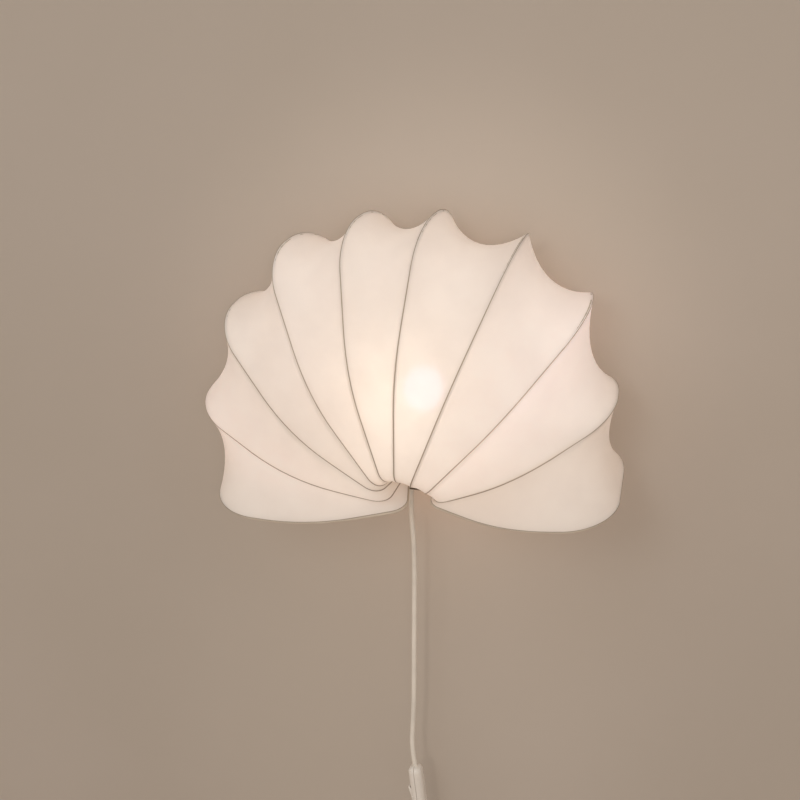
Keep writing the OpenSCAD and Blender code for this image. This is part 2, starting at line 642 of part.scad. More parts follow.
// The two screws: their places, their posts in the shells and the sinks for their heads
screw_z = switch_l / 2 - 14;
screw_y = switch_w / 2 - 6;
switch_screw_d = 2.6;
head_d = switch_screw_d + 1.8;
head_h = 1.8;
head_fit = 0.2;
head_sunk = 3;
screw_hole_fit = 0.15;
screw_bite = 4;
post_wall = 1.2;
back_post_wall = 1.7;
post_root = 1;
post_l = switch_t / 2 - post_root - half_parting;
pilot_floor = 1.5;
module switch_rocker_shell() color("white") in_switch() {
    difference() {
        switch_case(-switch_t, -half_parting);
        cube([2 * switch_t, rocker_w + 2 * rocker_fit, rocker_l + 2 * rocker_fit], center = true);
    }
    for (s = [-1, 1]) translate([0, s * (rocker_w / 2 + ear_gap + ear_t / 2), 0]) rotate([90, 0, 0])
        linear_extrude(ear_t, center = true) difference() {
            translate([switch_wall - ear_root - switch_t / 2, -ear_w / 2]) square([ear_l, ear_w]);
            translate([pivot_x, 0]) circle(d = pivot_d + 2 * pivot_fit);
        }
    at_screws(post_root - switch_t / 2) difference() {
        cylinder(h = post_l, d = switch_screw_d + 2 * post_wall);
        translate([0, 0, pilot_floor]) cylinder(h = switch_t, d = switch_screw_d + 2 * pivot_fit);
    }
}
module at_screws(x) for (s = [-1, 1])
    translate([x, s * screw_y, s * screw_z]) rotate([0, 90, 0]) children();
module switch_back_shell() color("white") in_switch() difference() {
    union() {
        switch_case(half_parting, switch_t);
        at_screws(half_parting) cylinder(h = post_l, d = switch_screw_d + 2 * back_post_wall);
    }
    at_screws(-1) cylinder(h = switch_t, d = switch_screw_d + 2 * screw_hole_fit);
    at_screws(switch_t / 2 - head_sunk) cylinder(h = head_sunk + 1, d = head_d + 2 * head_fit);
}
module switch_screws() color("silver") in_switch() {
    at_screws(-screw_bite) cylinder(h = screw_bite + switch_t / 2 - head_sunk, d = switch_screw_d);
    at_screws(switch_t / 2 - head_sunk) cylinder(h = head_h, d = head_d);
}

// The rocker: a shallow vee across its pivot, with its upper half standing out at rest
rocker_out = 3.1;
rocker_dip = 0.4;
rocker_edge = 1.9;
rocker_in = 1.6;
rocker_root = 3.4;
module switch_rocker() color("whitesmoke") in_switch() translate([pivot_x, 0, 0])
    rotate([0, -rocker_tilt, 0]) {
        edge_x = rocker_edge - rocker_out;
        rotate([90, 0, 0]) linear_extrude(rocker_w, center = true)
            polygon([[-rocker_out, -rocker_l / 2], [rocker_dip - rocker_out, 0],
                     [-rocker_out, rocker_l / 2], [edge_x, rocker_l / 2], [rocker_in, rocker_root],
                     [rocker_in, -rocker_root], [edge_x, -rocker_l / 2]]);
        rotate([90, 0, 0])
            cylinder(h = rocker_w + 2 * ear_gap + 2 * ear_t, d = pivot_d, center = true);
    }

// The two terminals: their distance from the middle, their place behind the parting, their block and bore
terminal_z = 20;
terminal_x = 2;
terminal_t = 7.9;
terminal_side = 9;
terminal_bore = 3.5;
module switch_terminals() color("gold") in_switch()
    for (s = [-1, 1]) translate([terminal_x, 0, s * terminal_z]) difference() {
        cube([terminal_t, terminal_side, terminal_side], center = true);
        cylinder(h = terminal_side + 2, d = terminal_bore, center = true);
    }

// The plug: a flat eight-sided body, its relief above it and its two pins below
plug_nose = 3;
plug_nose_h = 8;
plug_neck = 9;
plug_neck_h = 14;
plug_relief_d = 10;
relief_side = 0.5;
pin_point = 1.5;
pin_bevel = 1;
module plug_relief() color("white") translate(plug_at) translate([0, 0, -plug_relief_l])
    cylinder(h = plug_relief_l, d1 = plug_relief_d, d2 = cord_d + 2 * relief_side);
module plug_body() color("white") translate(plug_at) translate([0, 0, -plug_relief_l - plug_l])
    rotate([90, 0, 0]) linear_extrude(plug_t, center = true) for (m = [0, 1]) mirror([m, 0])
        polygon([[0, 0], [plug_w / 2 - plug_nose, 0], [plug_w / 2, plug_nose_h],
                 [plug_w / 2, plug_l - plug_neck_h], [plug_neck, plug_l], [0, plug_l]]);
module plug_pins() color("silver") for (s = [-1, 1])
    translate(plug_at + [s * pin_span / 2, 0, -plug_relief_l - plug_l - pin_l]) {
        translate([0, 0, pin_point]) cylinder(h = pin_l - pin_point, d = pin_d);
        cylinder(h = pin_point, d1 = pin_d - 2 * pin_bevel, d2 = pin_d);
    }

wall_bracket();
rear_hub();
column();
clamp_screw();
fan_hub();
for (i = [0:last_rib])
    rib(i);
for (i = [0:last_rib - 1])
    gore(i);
end_panel(0, -1);  // end_panel_left
end_panel(last_rib, 1);  // end_panel_right
holder_nipple();
nipple_nut();
holder_shell();
holder_insert();
threaded_sleeve();
centre_contact();
bulb_cap();
bulb_tip();
bulb_glass();
cord_relief();
cord_upper();
switch_rocker_shell();
switch_back_shell();
switch_rocker();
switch_screws();
switch_terminals();
cord_lower();
cord_coil();
coil_tie();
cord_tail();
plug_relief();
plug_body();
plug_pins();
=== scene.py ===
import math
from contextlib import contextmanager

import bpy
import numpy as np
from mathutils import Matrix


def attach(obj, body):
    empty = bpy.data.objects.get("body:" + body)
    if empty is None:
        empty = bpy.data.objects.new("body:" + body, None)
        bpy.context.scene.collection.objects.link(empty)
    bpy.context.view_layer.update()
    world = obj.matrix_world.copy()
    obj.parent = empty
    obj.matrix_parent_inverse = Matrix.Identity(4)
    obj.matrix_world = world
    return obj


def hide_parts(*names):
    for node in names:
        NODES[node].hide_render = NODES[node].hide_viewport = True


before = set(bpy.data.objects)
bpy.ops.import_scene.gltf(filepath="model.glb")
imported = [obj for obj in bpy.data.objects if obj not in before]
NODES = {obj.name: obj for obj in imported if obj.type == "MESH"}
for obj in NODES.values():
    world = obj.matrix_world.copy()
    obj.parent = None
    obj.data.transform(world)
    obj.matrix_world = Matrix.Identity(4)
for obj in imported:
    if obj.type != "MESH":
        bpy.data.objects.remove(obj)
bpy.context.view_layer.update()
# Keeps a division from meeting 0
TINY = 1e-9


def put(name, data):
    """A new object in the scene round a mesh, curve, light or camera."""
    obj = bpy.data.objects.new(name, data)
    bpy.context.collection.objects.link(obj)
    return obj


# The camera stands to the right of the lamp and above it, as in the photo. Metres and radians.
CAMERA_AT = (0.5624, -2.1852, 1.1613)
CAMERA_DOWN, CAMERA_LEFT = 0.4597, 0.2729
PICTURE_PX, FOCAL_PX, SENSOR_MM = 800, 2313.4, 36
FARTHEST = 40

camera_data = bpy.data.cameras.new("camera")
camera = put("camera", camera_data)
bpy.context.scene.camera = camera
camera.location = CAMERA_AT
camera.rotation_euler = (math.pi / 2 - CAMERA_DOWN, 0, CAMERA_LEFT)
camera_data.sensor_width = SENSOR_MM
camera_data.lens = SENSOR_MM * FOCAL_PX / PICTURE_PX
camera_data.clip_end = FARTHEST

# The lead's route: the same points as in the part's source, in millimetres
CORD_D, CORD_ROUNDNESS = 5.6, 5
EXIT = (-17, -70, -30)
UPPER = [EXIT, (-17, -70, -35), (-17, -70, -50), (-16.5, -70, -66), (-14.8, -70, -85), (-13.8, -69.5, -104),
         (-13.3, -69, -135), (-13.3, -69, -170), (-13.6, -68.5, -235), (-13.8, -68, -300), (-15, -68, -338),
         (-15.6, -68, -360), (-14, -68, -380), (-12.2, -68, -392), (-11, -68, -402)]
COIL_AT = np.array([12.0, -68, -554])
COIL_R, COIL_PITCH, COIL_LAYER, COIL_TURNS = 41.5, 6.2, 6.3, 3
CLIMB_TURN, COIL_START, COIL_RINGS = 0.5, 180, 32
COIL_IN = COIL_AT[0] - COIL_R
COIL_FRONT, COIL_BACK = COIL_AT[1] - COIL_LAYER / 2, COIL_AT[1] + COIL_LAYER / 2
LOWER = [(-4.2, -68, -457.5), (-3, -68, -467.5), (-2.2, -68, -474), (-4, -68.5, -487), (-12, -69.5, -503),
         (-22, -70.5, -518), (-28, -71, -533), (COIL_IN, COIL_FRONT, -543),
         (COIL_IN, COIL_FRONT, COIL_AT[2] + CORD_D)]
TAIL = [(COIL_IN, COIL_BACK, COIL_AT[2] - CORD_D), (COIL_IN, COIL_BACK, -568), (-29.5, -66, -582),
        (-29.5, -66, -591), (-29.5, -66, -595)]
# Steps of the smooth line between two points of the route
ROUTE_STEPS, TAIL_STEPS = 5, 4


def smooth(points, steps):
    """Points of a smooth curve that passes through the given ones."""
    p = np.array(points, float)
    last = len(p) - 1
    out = []
    for k in range(last):
        a, b, c, d = p[max(k - 1, 0)], p[k], p[k + 1], p[min(k + 2, last)]
        for s in range(steps):
            t = s / steps
            out.append(((-t**3 + 2 * t * t - t) * a + (3 * t**3 - 5 * t * t + 2) * b
                        + (-3 * t**3 + 4 * t * t + t) * c + (t**3 - t * t) * d) / 2)
    return np.array(out + [p[last]])


def coil_point(t):
    """The place after t turns: inwards in the front layer, a climb, and outwards again in the rear one."""
    r = COIL_R - COIL_PITCH * min(t, 2 * COIL_TURNS - t)
    climb = min(max((t - COIL_TURNS + CLIMB_TURN / 2) / CLIMB_TURN, 0), 1)
    a = math.radians(COIL_START + 360 * t)
    back = COIL_LAYER * (climb * climb * (3 - 2 * climb) - 0.5)
    return COIL_AT + np.array([r * math.cos(a), back, r * math.sin(a)])


def cord(name, points):
    """A round cord along points given in millimetres: a curve of one open spline."""
    data = bpy.data.curves.new(name, "CURVE")
    data.dimensions = "3D"
    data.bevel_depth = CORD_D / 2000
    data.bevel_resolution = CORD_ROUNDNESS
    data.use_fill_caps = True
    spline = data.splines.new("POLY")
    spline.points.add(len(points) - 1)
    flat = np.ones((len(points), 4))
    flat[:, :3] = np.array(points) / 1000
    spline.points.foreach_set("co", flat.ravel())
    spline.use_smooth = True
    return put(name, data)


upper_line = smooth(UPPER, ROUTE_STEPS)
coil_line = [coil_point(k / COIL_RINGS) for k in range(2 * COIL_TURNS * COIL_RINGS + 1)]
lower_line = np.concatenate([smooth(LOWER, ROUTE_STEPS)[:-1], coil_line, smooth(TAIL, TAIL_STEPS)[1:]])
lead_upper = cord("lead_upper", upper_line)
lead_lower = cord("lead_lower", lower_line)


# Materials
class Value:
    """A socket in a material's nodes. Maths with it adds Math nodes, also where a number comes first."""

    def __init__(self, maker, socket):
        self.maker = maker
        self.socket = socket

    def math(self, kind, *terms):
        return self.maker.node("ShaderNodeMath", dict(enumerate(terms)), operation=kind)

    def __add__(self, other):
        return self.math("ADD", self, other)

    def __radd__(self, other):
        return self.math("ADD", other, self)

    def __sub__(self, other):
        return self.math("SUBTRACT", self, other)

    def __rsub__(self, other):
        return self.math("SUBTRACT", other, self)

    def __mul__(self, other):
        return self.math("MULTIPLY", self, other)

    def __rmul__(self, other):
        return self.math("MULTIPLY", other, self)

    def sine(self):
        return self.math("SINE", self)

    def absolute(self):
        return self.math("ABSOLUTE", self)


class Material:
    """One procedural material, built node by node."""

    def __init__(self, name):
        self.material = bpy.data.materials.new(name)
        self.material.use_nodes = True
        self.tree = self.material.node_tree
        self.tree.nodes.clear()

    def node(self, kind, inputs=None, output=0, **settings):
        """A node with its settings, and with values or links in its sockets. Gives one of its outputs."""
        n = self.tree.nodes.new(kind)
        for key, value in settings.items():
            setattr(n, key, value)
        for key, value in (inputs or {}).items():
            if isinstance(value, Value):
                self.tree.links.new(value.socket, n.inputs[key])
            else:
                n.inputs[key].default_value = value
        return Value(self, n.outputs[output]) if len(n.outputs) else None

    def place(self):
        """The place on the object, in metres."""
        return self.node("ShaderNodeTexCoord", output="Object")

    def axes(self, vector):
        """The three numbers of a vector."""
        split = self.node("ShaderNodeSeparateXYZ", {0: vector}).socket.node
        return [Value(self, split.outputs[i]) for i in range(3)]

    def attribute(self, name):
        return self.node("ShaderNodeAttribute", output="Fac", attribute_name=name)

    def noise(self, where, scale, detail=3.0):
        return self.node("ShaderNodeTexNoise", {"Vector": where, "Scale": scale, "Detail": detail})

    def mask(self, value, low, high, kind="SMOOTHSTEP"):
        """0 where the value is at or under low, 1 where it is at or over high, and a ramp between."""
        ends = {"From Min": low, "From Max": high, "To Min": 0.0, "To Max": 1.0}
        return self.node("ShaderNodeMapRange", {"Value": value, **ends}, interpolation_type=kind)

    def blend(self, factor, a, b):
        """Colour a where the factor is 0, colour b where it is 1."""
        first, second, result = 6, 7, 2
        sockets = {"Factor": factor, first: a, second: b}
        return self.node("ShaderNodeMix", sockets, output=result, data_type="RGBA")

    def mix(self, factor, a, b):
        """Shader a where the factor is 0, shader b where it is 1."""
        return self.node("ShaderNodeMixShader", {0: factor, 1: a, 2: b})

    def bump(self, height, strength, distance):
        return self.node("ShaderNodeBump", {"Height": height, "Strength": strength, "Distance": distance})

    def principled(self, **inputs):
        return self.node("ShaderNodeBsdfPrincipled", {k.replace("_", " "): v for k, v in inputs.items()})

    def finish(self, shader):
        self.node("ShaderNodeOutputMaterial", {"Surface": shader})
        return self.material


def colour(r, g, b):
    """A colour named by its screen values, 0 to 255."""
    shares = [c / 255 for c in (r, g, b)]
    return tuple(((c + 0.055) / 1.055) ** 2.4 if c > 0.04 else c / 12.92 for c in shares) + (1.0,)


def darker(base, keep):
    """A colour that keeps a share of its light."""
    return tuple(c * keep for c in base[:3]) + (1.0,)


# Depth of a surface's grain, in metres, and the noise values between which its clouds and its sheen change
GRAIN_DEEP = 0.0002
CLOUD, WORN, SHEEN = (0.35, 0.7), (0.4, 0.75), (0.3, 0.7)


def plastic(name, base, rough=0.42, grain=0.5):
    """Moulded plastic or paint: faint clouds, a fine grain and an uneven sheen."""
    m = Material(name)
    where = m.place()
    cloud = m.noise(where, scale=60, detail=4)
    fine = m.noise(where, scale=2600, detail=2)
    sheen = m.noise(where, scale=240)
    return m.finish(m.principled(
        Base_Color=m.blend(m.mask(cloud, *CLOUD), base, darker(base, 0.93)),
        Roughness=rough - 0.06 + 0.14 * m.mask(sheen, *SHEEN, "LINEAR"),
        IOR=1.46,
        Normal=m.bump(fine, 0.12 * grain, GRAIN_DEEP)))


def metal(name, base, rough, wear=0.5):
    """Drawn or plated metal: long streaks, and duller clouds where it is worn."""
    m = Material(name)
    where = m.place()
    stretched = m.node("ShaderNodeVectorMath", {0: where, 1: (1.0, 0.15, 1.0)}, operation="MULTIPLY")
    streak = m.noise(stretched, scale=900)
    cloud = m.noise(where, scale=90, detail=4)
    return m.finish(m.principled(
        Base_Color=m.blend(m.mask(cloud, *WORN), base, darker(base, 1 - 0.3 * wear)),
        Metallic=1.0,
        Roughness=rough - 0.08 + 0.18 * m.mask(streak, *SHEEN, "LINEAR"),
        Normal=m.bump(streak, 0.15, GRAIN_DEEP)))


def sheath(name, base):
    """The lead's smooth rubbery sheath."""
    m = Material(name)
    where = m.place()
    cloud = m.noise(where, scale=35)
    sheen = m.noise(where, scale=300)
    fine = m.noise(where, scale=1500, detail=2)
    return m.finish(m.principled(
        Base_Color=m.blend(m.mask(cloud, *CLOUD), base, darker(base, 0.9)),
        Roughness=0.4 + 0.15 * m.mask(sheen, *SHEEN),
        Normal=m.bump(fine, 0.1, GRAIN_DEEP)))


def glowing_glass():
    """Opal glass, lit: the round of the bulb glows and its neck hardly does."""
    neck_top, round_start = 0.072, 0.084
    m = Material("opal_glass")
    where = m.place()
    _, _, z = m.axes(where)
    cloud = m.noise(where, scale=50, detail=2)
    lit = m.blend(cloud, colour(224, 208, 244), colour(220, 204, 244))
    return m.finish(m.principled(
        Base_Color=m.blend(cloud, colour(247, 242, 232), colour(240, 236, 228)),
        Roughness=0.25,
        Emission_Color=m.blend(m.mask(z, neck_top, round_start), colour(60, 52, 44), lit),
        Emission_Strength=2.6))


def hub_with_line():
    """The hub's plastic with a dark line painted round its lower edge as a shadow."""
    # Where the painted shadow line round the hub's lower edge begins and ends, in height in metres
    shadow_line_low, shadow_line_high = -0.0226, -0.0221
    m = Material("hub_plastic_front")
    where = m.place()
    _, _, z = m.axes(where)
    cloud = m.noise(where, scale=60, detail=4)
    sheen = m.noise(where, scale=240)
    fine = m.noise(where, scale=2600, detail=2)
    tint = m.blend(m.mask(cloud, *CLOUD), colour(228, 220, 208), colour(220, 211, 199))
    return m.finish(m.principled(
        Base_Color=m.blend(m.mask(z, shadow_line_low, shadow_line_high), colour(104, 84, 68), tint),
        Roughness=0.44 + 0.14 * m.mask(sheen, *SHEEN),
        Normal=m.bump(fine, 0.1, GRAIN_DEEP)))


lead_look = sheath("lead_sheath", colour(226, 217, 204))
white_look = plastic("white_plastic", colour(228, 219, 208))
hub_look = plastic("hub_plastic", colour(228, 220, 208), rough=0.5, grain=0.8)
holder_look = plastic("holder_plastic", colour(226, 220, 208), rough=0.5, grain=0.8)
insert_look = plastic("insert_ceramic", colour(222, 216, 200), rough=0.6, grain=1.0)
tie_look = plastic("tie_strap", colour(205, 200, 190), rough=0.6, grain=1.0)
steel_look = metal("plated_steel", colour(196, 197, 200), rough=0.32)
screw_look = metal("screw_steel", colour(150, 151, 153), rough=0.35, wear=0.8)
brass_look = metal("brass_fittings", colour(205, 170, 105), rough=0.3)
nickel_look = metal("nickel_plate", colour(205, 203, 198), rough=0.22)
solder_look = metal("tip_solder", colour(130, 130, 132), rough=0.5, wear=1.0)
wire_look = plastic("rib_wire_paint", colour(200, 186, 168), rough=0.4, grain=0.6)

RIB_NODES = ["rib_%d" % k for k in range(1, 11)]
LOOKS = {"wall_bracket": steel_look, "column": steel_look, "rear_hub": hub_look, "fan_hub": hub_with_line(),
         "clamp_screw": screw_look, "holder_nipple": brass_look, "nipple_nut": brass_look,
         "threaded_sleeve": brass_look, "centre_contact": brass_look, "switch_terminals": brass_look,
         "holder_shell": holder_look, "holder_insert": insert_look, "bulb_cap": nickel_look,
         "plug_pins": nickel_look, "bulb_tip": solder_look, "bulb_glass": glowing_glass(),
         "cord_relief": lead_look, "plug_relief": lead_look, "switch_rocker": white_look,
         "plug_body": white_look, "coil_tie": tie_look, **dict.fromkeys(RIB_NODES, wire_look)}
for name, look in LOOKS.items():
    mesh = NODES[name].data
    mesh.materials.clear()
    mesh.materials.append(look)

for piece, nodes in ((lead_upper, ["cord_upper"]), (lead_lower, ["cord_lower", "cord_coil", "cord_tail"])):
    piece.data.materials.append(lead_look)
    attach(piece, "lamp")
    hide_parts(*nodes)


# The switch's shells: a slender pill in two halves, in metres from the switch's middle.
# X points to the side of the screws, away from the rocker, and Z along the lead.
SWITCH_AT, SWITCH_LEAN = (-0.0076, -0.068, -0.4298), 7
PILL = (0.0156, 0.019, 0.076)
# Roundings of its sides, ends and seam, and half the gap between its halves
PILL_SIDE, PILL_END, SEAM_EDGE, HALF_GAP = 0.0074, 0.0072, 0.0004, 0.00015
ROCKER_HOLE, ROCKER_HOLE_AT, ROCKER_HOLE_CORNER = (0.010, 0.013, 0.025), (-0.007, 0, 0), 0.0012
# The two screw heads, the second one turned round the middle from the first, at HEAD_AT in Y and Z
HEAD_R, HEAD_LONG, HEAD_X, HEAD_EDGE = 0.0022, 0.0040, 0.0046, 0.0003
HEAD_TOP = HEAD_X + HEAD_LONG / 2
HEAD_AT = (0.0055, 0.024)
# Their holes in the shell, and their cross slots
HEAD_HOLE_MORE, HEAD_HOLE_LONG, HEAD_HOLE_X = 0.0003, 0.008, 0.0094
SLOT_DEEP, SLOT_WIDE, SLOT_LONG = 0.0012, 0.0007, 0.006
ROD_SIDES, SMOOTH_ANGLE = 32, math.radians(32)
# How near to a face an edge counts as on it
NEAR = 0.0001


def pick(*objs):
    """Select these objects and nothing else. The last one is the active one."""
    bpy.ops.object.select_all(action="DESELECT")
    for obj in objs:
        obj.select_set(True)
    bpy.context.view_layer.objects.active = objs[-1]


@contextmanager
def whole_mesh():
    """Edit mode on the active object, with all of it selected."""
    bpy.ops.object.mode_set(mode="EDIT")
    bpy.ops.mesh.select_all(action="SELECT")
    yield
    bpy.ops.object.mode_set(mode="OBJECT")


def name_it(name):
    """Name the object that was just made, and its mesh."""
    obj = bpy.context.object
    obj.name = name
    obj.data.name = name
    return obj


def block(name, size, at=(0, 0, 0)):
    """A box of its own size, with its object at the origin."""
    bpy.ops.object.select_all(action="DESELECT")
    bpy.ops.mesh.primitive_cube_add(size=1)
    with whole_mesh():
        bpy.ops.transform.resize(value=size)
        bpy.ops.transform.translate(value=at)
    return name_it(name)


def rod(name, radius, length, at):
    """A round rod along X, with its object at the origin."""
    bpy.ops.object.select_all(action="DESELECT")
    bpy.ops.mesh.primitive_cylinder_add(vertices=ROD_SIDES, radius=radius, depth=length)
    with whole_mesh():
        bpy.ops.transform.rotate(value=math.pi / 2, orient_axis="Y", center_override=(0, 0, 0))
        bpy.ops.transform.translate(value=at)
    return name_it(name)


def round_edges(obj, test, offset, segments):
    """Bevel the edges whose two ends pass a test on their places."""
    bpy.ops.object.mode_set(mode="EDIT")
    bpy.ops.mesh.select_mode(type="EDGE")
    bpy.ops.mesh.select_all(action="DESELECT")
    bpy.ops.object.mode_set(mode="OBJECT")
    mesh = obj.data
    for edge in mesh.edges:
        edge.select = bool(test(*(mesh.vertices[v].co for v in edge.vertices)))
    bpy.ops.object.mode_set(mode="EDIT")
    bpy.ops.mesh.bevel(offset=offset, segments=segments, affect="EDGES")
    bpy.ops.object.mode_set(mode="OBJECT")


def cut(obj, cutter):
    """Take the cutter's shape out of an object, and the cutter out of the scene."""
    tool = obj.modifiers.new("cut", "BOOLEAN")
    tool.object = cutter
    tool.operation = "DIFFERENCE"
    pick(obj)
    bpy.ops.object.modifier_apply(modifier="cut")
    bpy.data.objects.remove(cutter)


def settle(obj, look, slot, *nodes):
    """Put a piece of the switch in its place on the lead, in its look."""
    pick(obj)
    bpy.ops.object.shade_smooth_by_angle(angle=SMOOTH_ANGLE)
    obj.data.transform(Matrix.Translation(SWITCH_AT) @ Matrix.Rotation(math.radians(-SWITCH_LEAN), 4, "Y"))
    obj.data.materials.append(look)
    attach(obj, "lamp")
    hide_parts(*nodes)


def half_pill(name, way):
    """One half of the pill: the screws' half where way is 1, the rocker's where it is -1."""
    obj = block(name, PILL)
    end = PILL[2] / 2 - NEAR
    round_edges(obj, lambda a, b: abs(a.z - b.z) > PILL[2] / 2, PILL_SIDE, segments=10)
    round_edges(obj, lambda a, b: min(abs(a.z), abs(b.z)) > end and a.z * b.z > 0, PILL_END, segments=8)
    with whole_mesh():
        bpy.ops.mesh.bisect(plane_co=(way * HALF_GAP, 0, 0), plane_no=(way, 0, 0), use_fill=True,
                            clear_inner=True)
    round_edges(obj, lambda a, b: max(abs(a.x), abs(b.x)) < HALF_GAP + NEAR / 10, SEAM_EDGE, segments=2)
    return obj


def screw_head(y, z):
    """A round head with a cross slot."""
    head = rod("switch_screw_heads", HEAD_R, HEAD_LONG, (HEAD_X, y, z))
    round_edges(head, lambda a, b: min(a.x, b.x) > HEAD_TOP - NEAR, HEAD_EDGE, segments=2)
    cut(head, block("slot", (SLOT_DEEP, SLOT_WIDE, SLOT_LONG), (HEAD_TOP, y, z)))
    cut(head, block("slot", (SLOT_DEEP, SLOT_LONG, SLOT_WIDE), (HEAD_TOP, y, z)))
    return head


front_shell = half_pill("switch_front_half", -1)
hole = block("rocker_hole", ROCKER_HOLE, ROCKER_HOLE_AT)
round_edges(hole, lambda a, b: abs(a.x - b.x) > ROCKER_HOLE[0] / 2, ROCKER_HOLE_CORNER, segments=3)
cut(front_shell, hole)
back_shell = half_pill("switch_back_half", 1)
heads = []
for way in (1, -1):
    y, z = way * HEAD_AT[0], way * HEAD_AT[1]
    cut(back_shell, rod("head_hole", HEAD_R + HEAD_HOLE_MORE, HEAD_HOLE_LONG, (HEAD_HOLE_X, y, z)))
    heads.append(screw_head(y, z))
screws = heads[0]
pick(*reversed(heads))
bpy.ops.object.join()
settle(front_shell, white_look, "white_plastic", "switch_rocker_shell")
settle(back_shell, white_look, "white_plastic", "switch_back_shell")
settle(screws, screw_look, "screw_steel", "switch_screws")


# The ribs' lines, in millimetres and with the same values as in the part's source.
# Each rib lies in a plane of its own: ANGLE is where it points on the wall, and LEAN is how far the plane
# leans from the wall's normal. A place in it is a distance from the fan's middle and one from the wall.
# The rib goes from the front hub over its corner, belly, nose and heel to the rear hub.
ANGLE = np.radians([180, 161, 137.5, 117.5, 101, 86.5, 69.5, 52.5, 32.5, 8])
LEAN = np.radians([10, 13, 15.5, 16.5, 13.5, 8, 1.5, -5.5, -11, -6.5])
RIBS = len(ANGLE)
END_RIB = np.array([1] + [0] * (RIBS - 2) + [1])
FAN_REACH = 294
REACH = FAN_REACH * np.array([0.69, 0.84, 0.91, 0.975, 0.985, 0.995, 1, 0.94, 0.795, 0.76])
ROOT = [18, 17, 14, 14, 16, 20, 21, 20, 20, 18]
CORNER_OUT = [4, 19, 22, 14, 7, -2, -6, 1, 15, 18]
REAR, CORNER_DEPTH, BELLY_DEPTH, END_BELLY_MORE, NOSE_DEPTH, END_NOSE_MORE = 10, 135, 159, 25, 121, 60
BELLY = BELLY_DEPTH + END_BELLY_MORE * END_RIB
NOSE = NOSE_DEPTH + END_NOSE_MORE * END_RIB
FIRST_HEEL_OUT, HEEL_INSET, LAST_HEEL_INSET = 23, 4, 17
HEEL = REACH - np.array([-FIRST_HEEL_OUT] + [HEEL_INSET] * (RIBS - 2) + [LAST_HEEL_INSET])
CORNER_BEND, BELLY_RUN, NOSE_BEND, HEEL_BEND = 20, 49, 50, 68
HUB_FRONT, WIRE_HOLE, HUB_GAP, REAR_HUB = 84, 7, 1.5, 22.5
# How far past the heel's bend the fabric goes along the rear wire, to its hem
HEM_RUN = 26.0
# Stations on the straight before each of the four bends and on the bend itself, and past the last one
STATIONS, HEM_STATIONS = ((6, 8), (14, 8), (10, 16), (5, 14)), 5


def along(h):
    """The way at an angle h in a rib's plane."""
    return np.array([math.cos(h), math.sin(h)])


def side(h):
    """The way to the left of it."""
    return np.array([-math.sin(h), math.cos(h)])


def in_plane(i, depth):
    """The distance from the wall in rib i's leaning plane that lies at a true depth."""
    return REAR + (depth - REAR) / math.cos(LEAN[i])


def rib_line(i, hem=HEM_RUN):
    """Stations of rib i in its own plane, from the hub's face to the hem: their places and ways."""
    # The rib's corners, its way after each of them, and the turn and the bend's radius there
    p = np.array([(ROOT[i], in_plane(i, HUB_FRONT - WIRE_HOLE)), (CORNER_OUT[i], CORNER_DEPTH),
                  (REACH[i] / 2, BELLY[i]), (REACH[i], NOSE[i]), (HEEL[i], REAR), (REAR_HUB, REAR)], float)
    h = [math.atan2(*(p[k + 1] - p[k])[::-1]) for k in range(5)]
    turn = [0] + [(h[k] - h[k - 1] + math.pi) % (2 * math.pi) - math.pi for k in range(1, 5)]
    bend = [0, CORNER_BEND, BELLY_RUN / math.tan(abs(turn[2]) / 2), NOSE_BEND, HEEL_BEND]
    depth = in_plane(i, HUB_FRONT + HUB_GAP)
    here = p[0] + (p[1] - p[0]) * (depth - p[0][1]) / (p[1][1] - p[0][1])
    places, ways = [], []

    def straight(start, end, way, steps):
        for s in range(steps):
            places.append(start + (end - start) * s / steps)
            ways.append(way)

    for k, (lead_in, arc) in enumerate(STATIONS, 1):
        run = bend[k] * math.tan(abs(turn[k]) / 2)
        start = p[k] - along(h[k - 1]) * run
        centre = start - side(h[k - 1]) * bend[k]
        straight(here, start, along(h[k - 1]), lead_in)
        for s in range(arc):
            a = h[k - 1] + turn[k] * s / arc
            places.append(centre + side(a) * bend[k])
            ways.append(along(a))
        here = p[k] + along(h[k]) * run
    end = here + along(h[4]) * hem
    straight(here, end, along(h[4]), HEM_STATIONS)
    places.append(end)
    ways.append(along(h[4]))
    return np.array(places), np.array(ways)


def rib_axes(i):
    """The two directions of rib i's plane: out from the middle, and out from the wall."""
    a, lean = ANGLE[i], LEAN[i]
    spoke = np.array([math.cos(a), 0, math.sin(a)])
    rise = np.array([-math.sin(a) * math.sin(lean), -math.cos(lean), math.cos(a) * math.sin(lean)])
    return spoke, rise


def in_space(i, q):
    """Places in rib i's plane, as places in space."""
    spoke, rise = rib_axes(i)
    return np.array([0, -REAR, 0]) + q[:, :1] * spoke + (q[:, 1:] - REAR) * rise


centre_lines, ways_along = [], []
for i in range(RIBS):
    spoke, rise = rib_axes(i)
    q, w = rib_line(i)
    centre_lines.append(in_space(i, q))
    ways_along.append(w[:, :1] * spoke + w[:, 1:] * rise)
centre_lines = np.array(centre_lines)
ways_along = np.array(ways_along)


def unit(v):
    """Vectors in the same ways, of length 1."""
    return v / np.maximum(np.linalg.norm(v, axis=-1, keepdims=True), TINY)


# The fabric lies on each wire's outer side, midway between the two panels that meet there.
# Where they meet in a sharp fold, it stands further off, so that the wire stays inside the fold.
WIRE_R, FABRIC_OFF, FABRIC_ON_FOLD = 1.5, 2.1, 0.35
FOLD_OFF_LEAST, FOLD_OFF_MOST = FABRIC_OFF + 0.3, 3.5
